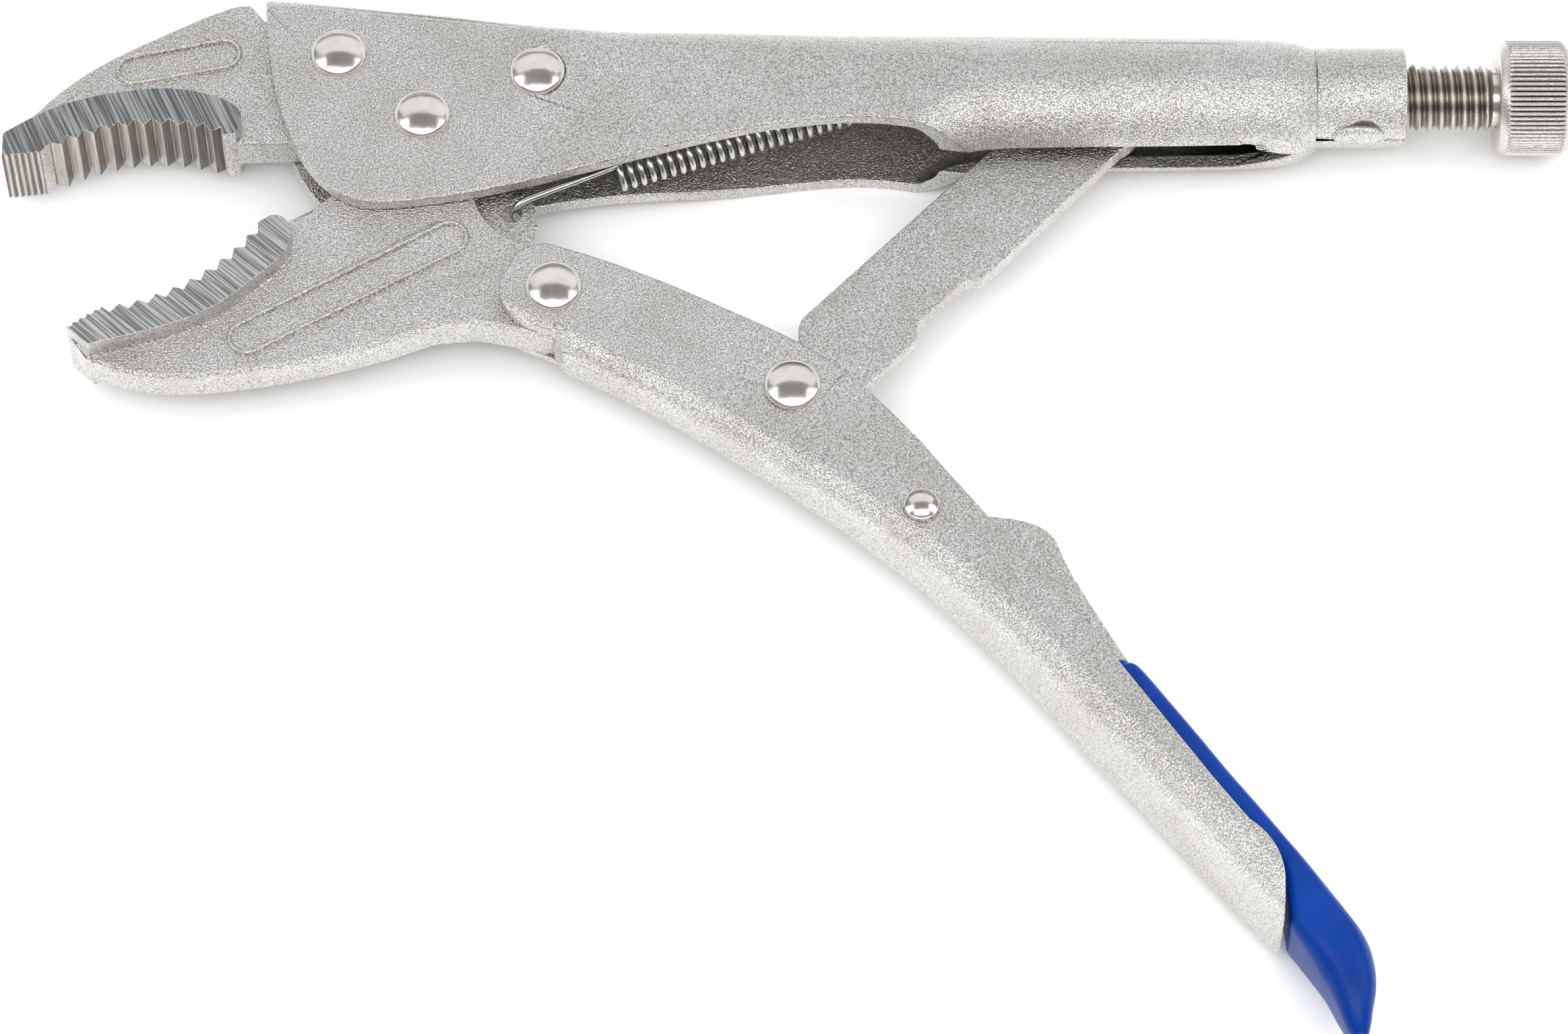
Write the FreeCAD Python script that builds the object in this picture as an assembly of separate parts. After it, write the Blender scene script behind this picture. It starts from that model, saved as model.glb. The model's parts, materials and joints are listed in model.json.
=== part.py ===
import FreeCAD, Part
import math
import os
from FreeCAD import Vector

os.makedirs("parts", exist_ok=True)

# Locking pliers with curved jaws, 250 mm class, lying on one side with the jaws open.
# The model is drawn about the jaw pivot: X runs from the jaws to the adjusting screw,
# Y runs from the lower handle to the fixed handle, Z is across the thickness.
# It is moved at the end, so that the origin is under the middle of the whole tool.

# Pivots and fixed rivets, from the jaw pivot
JAW_PIVOT = (0.0, 0.0)
JAW_RIVET_FRONT = (-13.4, 11.3)
JAW_RIVET_REAR = (17.8, 8.0)
HANDLE_PIVOT = (21.0, -31.2)
LINK_PIVOT = (57.7, -49.0)
LEVER_PIVOT = (77.1, -70.8)

# Sheet metal
SHEET = 2.35
CHEEK = 5.45
GRIP_HALF = 10.7
GRIP_FLAT = 10.65
TAIL_HALF = 10.4

# Forged jaws
JAW_HALF = 3.0
RAIL_HALF = 6.25
PANEL_RISE = 0.35
JAW_END_R = 7.3

# Rivets
SHANK_R = 3.0
HEAD_R = 4.35
HEAD_RISE = 1.7
HEAD_RIM = 0.35
SMALL_SHANK_R = 1.8
SMALL_HEAD_R = 2.75
SMALL_HEAD_RISE = 1.5
RUNNING = 0.05

# Adjusting screw, 7/16 inch, fourteen threads per inch
SCREW_Y = 6.6
THREAD_R = 5.555
NOSE_X = 119.0
THREAD_END_X = 165.0
KNOB_X0 = 168.2
KNOB_X1 = 179.5
KNOB_R = 9.05
NECK_R = 4.6
COLLAR_R = 7.875
COLLAR_X0 = 138.0
COLLAR_X1 = 153.7
SLIT_HALF = 3.15
SLIT_END_X = 127.0
SLIT_TIP_X = 136.0
MOUTH_CHAMFER = 0.9
SEAM = 0.3
RELIEF = (129.6, -8.3)
RELIEF_R = 4.7
STAKE_X = 147.0
STAKE_R = 4.0
KNOB_SOCKET = 5.5
KNOB_EDGE = 0.9
NOSE_R = 2.6

# Toggle link, release lever and spring
LINK_HALF = 1.5
HUB_R = 8.0
LEVER_HALF = 5.1
EAR_HALF = 4.2
EARS_END = 81.0
LEVER_SHEET = 1.8
SLEEVE_HALF = 6.6
WIRE_R = 0.55
COIL_R = 3.0
HOOK_HOLE = (14.1, -15.5)
HOOK_HOLE_R = 1.55
HOOK_HALF = 2.3
COIL_START = (30.4, -7.4)
COIL_END = (67.0, 5.0)
SPRING_TAB_X = 74.0
SPRING_TAB_Y = 7.6
SPRING_TAB = 1.6
LUG_HALF = 1.2

# Cuts reach past the whole thickness, or past the whole tool
THROUGH = 20.0
BEYOND = 160.0

UP = Vector(0, 0, 1)
FORWARD = Vector(1, 0, 0)


def vec(point, z=0.0):
    return Vector(point[0], point[1], z)


def run(*points):
    """Straight edges through the points."""
    return [Part.makeLine(vec(a), vec(b)) for a, b in zip(points, points[1:])]


def curve(*points):
    """One smooth edge through the points."""
    spline = Part.BSplineCurve()
    spline.interpolate([vec(p) for p in points])
    return [spline.toShape()]


def arc(a, b, c):
    """One round edge from a through b to c."""
    return [Part.Arc(vec(a), vec(b), vec(c)).toShape()]


def slab(edges, low, high):
    """A plate with the given outline, from height low to height high."""
    wire = Part.Wire(Part.__sortEdges__(edges))
    face = Part.Face(wire)
    face.translate(Vector(0, 0, low))
    return face.extrude(Vector(0, 0, high - low))


def rod(centre, radius, low, high):
    return Part.makeCylinder(radius, high - low, vec(centre, low), UP)


def stadium(a, b, radius, low, high):
    """A plate with two round ends at a and b."""
    along = (vec(b) - vec(a)).normalize()
    side = Vector(-along.y, along.x, 0) * radius
    ends = [vec(a) + side, vec(b) + side, vec(b) - side, vec(a) - side]
    points = [(p.x, p.y) for p in ends]
    outline = run(points[0], points[1]) + run(points[2], points[3])
    far = vec(b) + along * radius
    near = vec(a) - along * radius
    outline += arc(points[1], (far.x, far.y), points[2])
    outline += arc(points[3], (near.x, near.y), points[0])
    return slab(outline, low, high)


def round_box(back, inward, half, corner, depth, foot):
    """Closed wire across a folded sheet: back is on its spine, inward leads away from the spine."""
    limit = min(half, depth / 2) - 0.05
    corner = min(corner, limit)
    foot = min(foot, limit)
    origin = vec(back)
    inward = Vector(inward[0], inward[1], 0).normalize()

    def at(s, z):
        return origin + inward * s + UP * z

    def bend(s, z, radius, ds, dz):
        middle = radius * (1 - math.sqrt(0.5))
        first = at(s + ds * radius, z)
        second = at(s, z + dz * radius)
        mid = at(s + ds * middle, z + dz * middle)
        return first, mid, second

    a1, am, a2 = bend(0, half, corner, 1, -1)
    b1, bm, b2 = bend(0, -half, corner, 1, 1)
    c1, cm, c2 = bend(depth, -half, foot, -1, 1)
    d1, dm, d2 = bend(depth, half, foot, -1, -1)
    edges = [
        Part.Arc(a1, am, a2).toShape(),
        Part.makeLine(a2, b2),
        Part.Arc(b2, bm, b1).toShape(),
        Part.makeLine(b1, c1),
        Part.Arc(c1, cm, c2).toShape(),
        Part.makeLine(c2, d2),
        Part.Arc(d2, dm, d1).toShape(),
        Part.makeLine(d1, a1),
    ]
    return Part.Wire(edges)


def slope(table, column, j):
    """Slope of one column at row j of a table of (x, value, value, ...) rows, level at its ends and peaks."""
    if j <= 0 or j >= len(table) - 1:
        return 0.0
    left = (table[j][column] - table[j - 1][column]) / (table[j][0] - table[j - 1][0])
    right = (table[j + 1][column] - table[j][column]) / (table[j + 1][0] - table[j][0])
    return 0.0 if left * right <= 0 else 2 * left * right / (left + right)


def smooth(table, x):
    """Row of values at x, from a table of (x, value, value, ...) rows, with no overshoot between rows."""
    rows = [row for row in table if row[0] <= x] or [table[0]]
    i = min(len(rows) - 1, len(table) - 2)
    low, high = table[i], table[i + 1]
    width = high[0] - low[0]
    share = (x - low[0]) / width
    h0 = 2 * share ** 3 - 3 * share ** 2 + 1
    h1 = share ** 3 - 2 * share ** 2 + share
    h2 = 3 * share ** 2 - 2 * share ** 3
    h3 = share ** 3 - share ** 2
    values = []
    for column in range(1, len(low)):
        rise = h1 * slope(table, column, i) + h3 * slope(table, column, i + 1)
        values.append(h0 * low[column] + h2 * high[column] + width * rise)
    return values


def folded(stations, inset=0.0, open_foot=False):
    """Loft through stations of (back, inward, half, corner, depth, foot), inset for the inside."""
    wires = []
    for back, inward, half, corner, depth, foot in stations:
        length = math.hypot(*inward)
        moved = (back[0] + inward[0] / length * inset, back[1] + inward[1] / length * inset)
        inner_depth = depth + 4.0 if open_foot else depth - 2 * inset
        wires.append(round_box(moved, inward, half - inset, max(corner - inset, 0.9),
                               inner_depth, max(foot - inset, 0.9)))
    return Part.makeLoft(wires, True, True)


# Fixed handle: a folded sheet, narrow at the jaws, wide at the grip, a slit tube at the rear

FIXED_SECTIONS = [
    # distance along X, top, half width, corner
    (-30.0, 22.9, CHEEK, 3.2),
    (-5.0, 20.8, CHEEK, 3.2),
    (16.0, 18.3, CHEEK, 3.4),
    (27.0, 16.9, 6.4, 3.9),
    (36.0, 15.8, 7.9, 4.6),
    (45.0, 15.0, 9.6, 5.5),
    (56.0, 14.8, GRIP_HALF, 7.0),
    (73.0, 15.3, GRIP_HALF, 8.7),
    (90.0, 15.8, 10.6, 10.0),
    (122.0, 15.8, 10.3, 10.1),
    (132.0, 15.5, 10.0, 9.9),
    (136.5, 15.1, 9.4, 9.3),
    (139.6, 14.3, 8.1, 8.0),
]
TUBE_BOTTOM = [
    # distance along X, bottom, lip corner
    (70.0, -17.0, 6.0),
    (76.0, -10.5, 7.0),
    (80.0, -7.4, 7.6),
    (85.0, -5.6, 8.6),
    (92.0, -5.0, 9.2),
    (122.0, -4.8, 10.0),
    (132.0, -4.5, 9.9),
    (136.5, -3.9, 9.3),
    (139.6, -2.0, 8.0),
]
SHOULDER_X = [131.0, 133.5, 135.5, 137.0, 138.3, 139.1, 139.6]
OPEN_DEPTH = 42.0
TUBE_X = 70.0
LIP_X = 86.0
STEP = 4.5
FIXED_FRONT = [(-25.4, 24.0), (-24.6, 14.2), (-22.5, 2.0), (-19.3, -6.3), (-14.1, -13.1), (-7.0, -15.9)]
FIXED_BOTTOM = [(-7.0, -15.9), (8.0, -14.0), (26.9, -9.5), (44.1, -6.4), (60.0, -4.0), (70.0, -3.5),
                (76.0, -4.2), (80.0, -4.9), (LIP_X, -5.6)]
INNER_END_X = 136.0


def spring_tab():
    """A tongue folded down inside the fixed handle, with a hole for the spring's rear hook."""
    tab_half = 3.5
    tab = Part.makeBox(SPRING_TAB, 12.0, 2 * tab_half, Vector(SPRING_TAB_X, SPRING_TAB_Y - 3.0, -tab_half))
    before = Vector(SPRING_TAB_X - 0.5, SPRING_TAB_Y, 0)
    hole = Part.makeCylinder(2 * WIRE_R + 0.2, 2 * SPRING_TAB, before, FORWARD)
    return tab.cut(hole)


def collar_cylinder(radius, low, high):
    return Part.makeCylinder(radius, high - low, Vector(low, SCREW_Y, 0), FORWARD)


def spread(low, high):
    """Even steps from low to high."""
    count = max(2, round((high - low) / STEP))
    return [low + (high - low) * i / count for i in range(count + 1)]


def channel_stations(low, high):
    """Sections of the open front channel of the fixed handle."""
    stations = []
    for x in spread(low, high):
        top, half, corner = smooth(FIXED_SECTIONS, x)
        stations.append(((x, top), (0, -1), half, corner, OPEN_DEPTH, 1.5))
    return stations


def tube_stations(low, high):
    """Sections of the rear tube of the fixed handle."""
    stations = []
    for x in spread(low, SHOULDER_X[0])[:-1] + SHOULDER_X:
        if x <= high:
            top, half, corner = smooth(FIXED_SECTIONS, x)
            bottom, lip = smooth(TUBE_BOTTOM, x)
            stations.append(((x, top), (0, -1), half, corner, top - bottom, lip))
    return stations


def slit():
    """The opening between the tube's two lips, closing to a point before the collar."""
    low, high = Vector(0, -12, 0), Vector(0, 12, 0)
    start_x = TUBE_X + 5
    corners = [(start_x, -SLIT_HALF), (SLIT_END_X, -SLIT_HALF), (SLIT_TIP_X, 0.0), (SLIT_END_X, SLIT_HALF),
               (start_x, SLIT_HALF), (start_x, -SLIT_HALF)]
    return Part.Face(Part.makePolygon([low + Vector(x, 0, z) for x, z in corners])).extrude(high)


def collar_cuts():
    """The collar's bore and its chamfered mouth, the seam underneath and the stake mark beside it."""
    bore_r = THREAD_R + RUNNING
    mouth = Part.makeCone(bore_r, THREAD_R + MOUTH_CHAMFER, MOUTH_CHAMFER,
                          Vector(COLLAR_X1 - MOUTH_CHAMFER, SCREW_Y, 0), FORWARD)
    bottom = SCREW_Y - COLLAR_R
    seam_start = SLIT_TIP_X - 1
    seam = Part.makeBox(COLLAR_X1 - seam_start, 0.7, SEAM, Vector(seam_start, bottom - 0.1, -SEAM / 2))
    stake = Part.makeSphere(STAKE_R, Vector(STAKE_X, bottom - 2.6, 2.6))
    return [collar_cylinder(bore_r, INNER_END_X - 3, COLLAR_X1 + 1), mouth, seam, stake]


def make_fixed_handle():
    front_x = FIXED_FRONT[0][0]
    shell = folded(channel_stations(front_x - 4, TUBE_X)).fuse(folded(tube_stations(TUBE_X, SHOULDER_X[-1])))
    shell = shell.fuse(collar_cylinder(COLLAR_R, COLLAR_X0, COLLAR_X1))
    shell = shell.cut(folded(channel_stations(front_x - 5, TUBE_X), SHEET, open_foot=True))
    shell = shell.cut(folded(tube_stations(TUBE_X, INNER_END_X), SHEET))
    outline = curve(*FIXED_FRONT) + curve(*FIXED_BOTTOM)
    outline += run(FIXED_BOTTOM[-1], (LIP_X, -30.0), (BEYOND, -30.0), (BEYOND, 40.0), (front_x, 40.0),
                   FIXED_FRONT[0])
    shell = shell.common(slab(outline, -GRIP_FLAT, GRIP_FLAT))
    shell = shell.cut(slit())
    shell = shell.cut(rod(RELIEF, RELIEF_R, SLIT_HALF - 1, THROUGH))
    for tool in collar_cuts():
        shell = shell.cut(tool)
    inside = folded(channel_stations(SPRING_TAB_X - 8, SPRING_TAB_X + 8), 0.8, open_foot=True)
    shell = shell.fuse(spring_tab().common(inside))
    for centre in (JAW_PIVOT, JAW_RIVET_FRONT, JAW_RIVET_REAR):
        shell = shell.cut(seats(centre, CHEEK, HEAD_R, SHANK_R))
    return shell


# Jaws

def tooth_row(first, middle, last, count, rise, lean):
    """Saw points from first to last along an arc; lean sets where a root falls between two tips."""
    path = Part.Arc(vec(first), vec(middle), vec(last))
    points = []
    for i in range(count):
        start, end = i / count, (i + 1) / count
        span = path.LastParameter - path.FirstParameter
        tip = path.value(path.FirstParameter + span * start)
        at_root = path.FirstParameter + span * (start + (end - start) * lean)
        root = path.value(at_root)
        along = path.tangent(at_root)[0]
        points.append((tip.x, tip.y))
        points.append((root.x - along.y * rise, root.y + along.x * rise))
    points.append(last)
    return points


def panel(a, b, radius, rim):
    """A raised oval rim on both faces of a jaw, with nothing written in it."""
    low, high = -JAW_HALF - PANEL_RISE, JAW_HALF + PANEL_RISE
    ring = stadium(a, b, radius, low, high).cut(stadium(a, b, radius - rim, low - 1, high + 1))
    return ring


UPPER_TOP = [(-65.2, -4.0), (-62.0, 0.4), (-52.4, 9.9), (-38.3, 18.2), (-30.3, 21.7), (-27.4, 22.0)]


def make_upper_jaw():
    body = curve(*UPPER_TOP)
    body += run((-27.4, 22.0), (-25.6, 19.3), (-22.0, 19.2), (0.0, 17.4), (21.0, 15.0))
    body += arc((21.0, 15.0), (25.2, 9.0), (21.0, 3.0))
    body += run((21.0, 3.0), (10.1, 3.0))
    body += arc((10.1, 3.0), (0.0, 10.55), (-10.1, 3.0))
    body += curve((-10.1, 3.0), (-13.5, -1.5), (-19.0, -3.5))
    body += run((-19.0, -3.5), (-29.4, -3.9), (-31.0, -2.4), (-58.0, -4.0), (-65.2, -4.0))
    jaw = slab(body, -JAW_HALF, JAW_HALF)

    teeth = tooth_row((-57.6, -5.6), (-44.6, -1.2), (-31.2, -2.7), 10, -1.25, 0.55)
    tip = tooth_row((-65.1, -8.1), (-62.2, -7.8), (-59.2, -7.4), 6, 0.3, 0.5)
    rail = run(*tip) + run(tip[-1], *teeth)
    rail += run(teeth[-1], (-31.0, -4.1), (-28.9, -3.9), (-28.3, -2.6))
    rail += curve((-28.3, -2.6), (-28.6, 0.6), (-33.4, 3.4), (-39.5, 4.5), (-45.6, 4.1), (-51.7, 2.9),
                  (-57.7, 0.8), (-61.6, -1.4), (-65.1, -3.8))
    rail += run((-65.1, -3.8), (-65.1, -8.1))
    band = slab(rail, -RAIL_HALF, RAIL_HALF)
    under = run(tip[-1], *teeth) + run(teeth[-1], (-31.0, -12.0), (-59.2, -12.0), tip[-1])
    jaw = jaw.cut(slab(under, -THROUGH, THROUGH)).fuse(band)
    jaw = jaw.fuse(panel((-45.6, 9.9), (-31.7, 12.9), 2.9, 0.75))
    jaw = jaw.removeSplitter()
    for centre in (JAW_RIVET_FRONT, JAW_RIVET_REAR):
        jaw = jaw.cut(rod(centre, SHANK_R, -THROUGH, THROUGH))
    return jaw


def make_lower_jaw():
    body = arc((-8.6, 3.5), (0.0, 9.3), (9.2, -1.5))
    body += run((9.2, -1.5), (8.2, -13.2))
    body += curve((8.2, -13.2), (9.5, -16.8), (12.4, -20.1), (18.1, -22.0))
    body += run((18.1, -22.0), (24.2, -24.5))
    body += arc((24.2, -24.5), (28.3, -31.2), (21.0, -38.5))
    body += curve((21.0, -38.5), (12.8, -37.0), (5.5, -36.3), (-1.1, -38.4), (-15.7, -42.9), (-31.6, -45.6),
                  (-45.6, -44.6), (-50.4, -42.4))
    body += run((-50.4, -42.4), (-53.4, -38.6), (-24.6, -20.3), (-21.9, -18.9), (-17.2, -15.8))
    body += curve((-17.2, -15.8), (-11.5, -9.5), (-9.6, -3.5), (-8.6, 3.5))
    jaw = slab(body, -JAW_HALF, JAW_HALF)

    lug = run((4.0, -4.0), (13.0, -11.6), (16.2, -12.2), (17.7, -13.9), (17.7, -24.0), (4.0, -24.0),
              (4.0, -4.0))
    jaw = jaw.fuse(slab(lug, -LUG_HALF, LUG_HALF))

    teeth = tooth_row((-48.3, -35.1), (-36.3, -31.0), (-24.8, -20.0), 10, -1.2, 0.42)
    tip = tooth_row((-53.5, -38.7), (-50.9, -36.8), (-48.3, -35.1), 5, -0.45, 0.6)
    rail = run(*tip) + run(*teeth)
    rail += run(teeth[-1], (-22.9, -18.7), (-21.6, -18.7))
    rail += curve((-21.6, -18.7), (-19.6, -21.4), (-19.9, -24.0), (-24.0, -29.1), (-31.7, -35.5),
                  (-39.6, -38.9), (-50.0, -41.8))
    rail += run((-50.0, -41.8), tip[0])
    band = slab(rail, -RAIL_HALF, RAIL_HALF)
    over = run(*tip) + run(*teeth) + run(teeth[-1], (-24.8, -8.0), (-60.0, -8.0), (-60.0, -38.7), tip[0])
    jaw = jaw.cut(slab(over, -THROUGH, THROUGH)).fuse(band)
    jaw = jaw.fuse(panel((-26.0, -38.8), (4.6, -20.9), 3.1, 0.8))
    jaw = jaw.removeSplitter()
    for centre, radius in ((HOOK_HOLE, HOOK_HOLE_R), (JAW_PIVOT, SHANK_R + RUNNING),
                           (HANDLE_PIVOT, SHANK_R + RUNNING)):
        jaw = jaw.cut(rod(centre, radius, -THROUGH, THROUGH))
    return jaw


# Lower handle: a folded sheet whose spine is curved, narrow at the pivot and wide at the tail

LOWER_SPINE = [(10.0, -35.2), (23.5, -42.2), (35.7, -49.1), (47.8, -56.8), (64.2, -68.5), (74.7, -76.8),
               (85.2, -87.0), (98.4, -102.1), (108.6, -114.4), (118.8, -126.6), (132.0, -142.4)]
LOWER_SECTIONS = [
    # distance along X, half width, corner
    (8.0, CHEEK, 3.4),
    (40.0, CHEEK, 3.6),
    (57.7, 6.25, 3.8),
    (77.0, 7.8, 4.0),
    (92.0, 8.8, 4.3),
    (108.0, 9.9, 4.5),
    (118.0, TAIL_HALF, 4.6),
    (135.0, TAIL_HALF, 4.6),
]
LOWER_EDGE = [(20.0, -23.3), (32.7, -27.9), (48.8, -35.6), (61.0, -42.7), (69.1, -49.8), (78.8, -61.6),
              (92.0, -79.3), (105.9, -97.8), (118.2, -116.0), (124.5, -124.6)]
LINK_SEAT = smooth(LOWER_SECTIONS, LINK_PIVOT[0] - HEAD_R)[0]
LEVER_SEAT = smooth(LOWER_SECTIONS, LEVER_PIVOT[0] - SMALL_HEAD_R)[0]
LOWER_DEPTH = 26.0
LOWER_LENGTH = 160.0


def jaw_notch():
    """Room through the spine for the lower jaw's end, which turns about the handle pivot."""
    half = JAW_HALF + 0.1
    round_end = rod(HANDLE_PIVOT, JAW_END_R + 0.5, -half, half)
    front = Part.makeBox(18.0, 16.0, 2 * half, Vector(3.0, -47.0, -half))
    return round_end.fuse(front)


def make_lower_handle():
    spine = Part.BSplineCurve()
    spine.interpolate([vec(p) for p in LOWER_SPINE])
    stations = []
    for distance in spread(0.0, LOWER_LENGTH):
        share = distance / LOWER_LENGTH
        at = spine.FirstParameter + (spine.LastParameter - spine.FirstParameter) * share
        point = spine.value(at)
        along = spine.tangent(at)[0]
        half, corner = smooth(LOWER_SECTIONS, point.x)
        stations.append(((point.x, point.y), (-along.y, along.x), half, corner, LOWER_DEPTH, 1.5))
    shell = folded(stations)
    shell = shell.cut(folded(stations, SHEET, open_foot=True))
    outline = curve(*LOWER_EDGE)
    outline += curve(LOWER_EDGE[-1], (128.1, -128.7), (129.4, -134.0))
    outline += run((129.4, -134.0), (129.2, -150.0), (22.4, -60.0), (22.4, -41.5))
    outline += curve((22.4, -41.5), (21.3, -39.3), (16.8, -37.3), (13.6, -34.6), (12.7, -30.4))
    outline += curve((12.7, -30.4), (14.0, -26.0), (17.0, -23.8), (20.0, -23.3))
    shell = shell.common(slab(outline, -THROUGH, THROUGH))
    shell = shell.cut(jaw_notch())
    shell = shell.cut(seats(HANDLE_PIVOT, CHEEK, HEAD_R, SHANK_R))
    shell = shell.cut(seats(LINK_PIVOT, LINK_SEAT, HEAD_R, SHANK_R))
    shell = shell.cut(seats(LEVER_PIVOT, LEVER_SEAT, SMALL_HEAD_R, SMALL_SHANK_R))
    return shell


# Toggle link: a flat plate between the lower handle and the nose of the adjusting screw

def make_toggle_link():
    arm = run((58.6, -44.0), (58.6, -36.6))
    arm += curve((58.6, -36.6), (58.9, -35.2), (59.9, -33.7))
    arm += run((59.9, -33.7), (87.4, -5.4), (96.5, 4.2))
    arm += curve((96.5, 4.2), (102.0, 7.0), (108.5, 8.0), (114.2, 6.6), (113.4, 1.3), (109.1, -3.8))
    arm += run((109.1, -3.8), (88.4, -26.1), (86.6, -27.7))
    arm += curve((86.6, -27.7), (85.2, -27.5), (84.0, -28.1))
    arm += run((84.0, -28.1), (77.6, -34.7), (76.8, -36.2), (77.0, -37.6), (76.3, -39.0), (68.0, -47.7),
               (60.0, -52.0), (58.6, -44.0))
    link = slab(arm, -LINK_HALF, LINK_HALF)
    link = link.fuse(rod(LINK_PIVOT, HUB_R, -LINK_HALF, LINK_HALF)).removeSplitter()
    return link.cut(rod(LINK_PIVOT, SHANK_R + RUNNING, -THROUGH, THROUGH))


# Release lever: a small folded channel inside the lower handle, with a dipped vinyl sleeve on its tail

LEVER_TOP = [(66.5, -63.6), (75.0, -66.6), (82.0, -71.0), (86.0, -71.0), (91.0, -71.7), (95.4, -73.3),
             (97.7, -76.4), (99.1, -80.0), (103.9, -89.2), (107.4, -95.4), (110.0, -99.3), (117.5, -109.6),
             (130.5, -127.6), (137.6, -138.8)]
LEVER_UNDER = [(137.6, -138.8), (139.2, -142.2), (139.7, -145.0), (138.8, -146.8), (137.2, -146.4),
               (135.8, -143.9), (134.9, -138.6), (128.7, -128.4), (115.0, -110.5), (104.5, -98.0),
               (101.0, -95.5), (88.0, -81.0), (80.5, -76.0), (74.0, -70.5), (68.5, -66.3), (66.5, -63.6)]


def lever_blank():
    """The release lever's outline at its full width, before it is hollowed."""
    outline = run(*LEVER_TOP[:4]) + curve(*LEVER_TOP[3:7]) + curve(*LEVER_TOP[6:]) + run(*LEVER_UNDER)
    return slab(outline, -LEVER_HALF, LEVER_HALF)


def make_release_lever():
    solid = lever_blank()
    for side in (EAR_HALF, -EAR_HALF - 5.0):
        solid = solid.cut(Part.makeBox(EARS_END - 60.0, 60.0, 5.0, Vector(60.0, -110.0, side)))
    web = LEVER_SHEET
    inside = [(p[0] - 0.8 * web, p[1] - 0.6 * web) for p in LEVER_TOP[3:-1]]
    hollow = run((EARS_END, -90.0), (EARS_END, -74.5), (84.0, -74.0)) + run((84.0, -74.0), *inside)
    hollow += run(inside[-1], (124.0, -136.0), (EARS_END, -90.0))
    half = LEVER_HALF - LEVER_SHEET
    solid = solid.cut(slab(hollow, -half, half))
    gap = EAR_HALF - LEVER_SHEET
    front = run((60.0, -55.0), (84.5, -55.0), (84.5, -90.0), (60.0, -90.0), (60.0, -55.0))
    solid = solid.cut(slab(front, -gap, gap))
    return solid.cut(rod(LEVER_PIVOT, SMALL_SHANK_R + RUNNING, -THROUGH, THROUGH))


SLEEVE_STATIONS = [
    # top point, way to the underside, half width, corner, depth
    ((107.6, -95.6), (-0.82, -0.57), SLEEVE_HALF - 0.4, 1.6, 5.8),
    ((109.0, -96.6), (-0.82, -0.57), SLEEVE_HALF, 2.0, 6.8),
    ((118.3, -108.6), (-0.81, -0.59), SLEEVE_HALF, 2.0, 5.0),
    ((131.4, -126.9), (-0.81, -0.59), SLEEVE_HALF, 1.8, 4.0),
    ((134.6, -131.5), (-0.84, -0.54), SLEEVE_HALF, 1.9, 4.1),
    ((136.2, -133.8), (-0.90, -0.44), SLEEVE_HALF, 2.2, 5.7),
    ((138.4, -137.2), (-0.93, -0.37), SLEEVE_HALF, 2.8, 7.8),
    ((141.3, -142.6), (-0.93, -0.37), SLEEVE_HALF - 0.2, 3.4, 9.6),
    ((142.9, -148.5), (-1.0, 0.0), SLEEVE_HALF - 0.8, 4.0, 9.4),
    ((142.6, -153.6), (-0.9, 0.3), SLEEVE_HALF - 2.2, 3.6, 6.6),
    ((141.4, -156.6), (-0.85, 0.5), SLEEVE_HALF - 4.4, 1.8, 3.6),
]


def make_sleeve():
    stations = [(*station, station[3]) for station in SLEEVE_STATIONS]
    return folded(stations).cut(lever_blank())


# Rivets, turned to shape, each head on a flat seat pressed into the handle's wall

def rivet(centre, seat, shank, head, rise):
    shoulder = seat + HEAD_RIM
    dome = rise - HEAD_RIM
    dome_r = (head ** 2 + dome ** 2) / (2 * dome)
    top = seat + rise
    mid = head / 2
    crown = top - dome_r + math.sqrt(dome_r ** 2 - mid ** 2)
    profile = [
        Part.makeLine(Vector(0, 0, -top), Vector(0, 0, top)),
        Part.Arc(Vector(0, 0, top), Vector(mid, 0, crown), Vector(head, 0, shoulder)).toShape(),
        Part.makeLine(Vector(head, 0, shoulder), Vector(head, 0, seat)),
        Part.makeLine(Vector(head, 0, seat), Vector(shank, 0, seat)),
        Part.makeLine(Vector(shank, 0, seat), Vector(shank, 0, -seat)),
        Part.makeLine(Vector(shank, 0, -seat), Vector(head, 0, -seat)),
        Part.makeLine(Vector(head, 0, -seat), Vector(head, 0, -shoulder)),
        Part.Arc(Vector(head, 0, -shoulder), Vector(mid, 0, -crown), Vector(0, 0, -top)).toShape(),
    ]
    turned = Part.Face(Part.Wire(profile)).revolve(Vector(0, 0, 0), UP, 360)
    turned.translate(vec(centre))
    return turned


def large_rivet(centre, seat):
    return rivet(centre, seat, SHANK_R, HEAD_R, HEAD_RISE)


def seats(centre, seat, head, shank):
    """What a rivet takes out of a handle: its hole, and the wall above its seats."""
    hole = rod(centre, shank, -THROUGH, THROUGH)
    room = head + 0.1
    return hole.fuse([rod(centre, room, seat, THROUGH), rod(centre, room, -THROUGH, -seat)])


# Adjusting screw and knob

def make_screw():
    thread_y = SCREW_Y + THREAD_R
    end_x = KNOB_X0 + KNOB_SOCKET
    profile = run((NOSE_X, SCREW_Y), (NOSE_X, SCREW_Y + NOSE_R))
    profile += curve((NOSE_X, SCREW_Y + NOSE_R), (NOSE_X + 0.7, SCREW_Y + 4.2), (NOSE_X + 2.4, thread_y))
    profile += run((NOSE_X + 2.4, thread_y), (THREAD_END_X, thread_y), (THREAD_END_X + 0.9, SCREW_Y + NECK_R),
                   (end_x, SCREW_Y + NECK_R), (end_x, SCREW_Y), (NOSE_X, SCREW_Y))
    face = Part.Face(Part.Wire(profile))
    return face.revolve(Vector(0, SCREW_Y, 0), FORWARD, 360)


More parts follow.
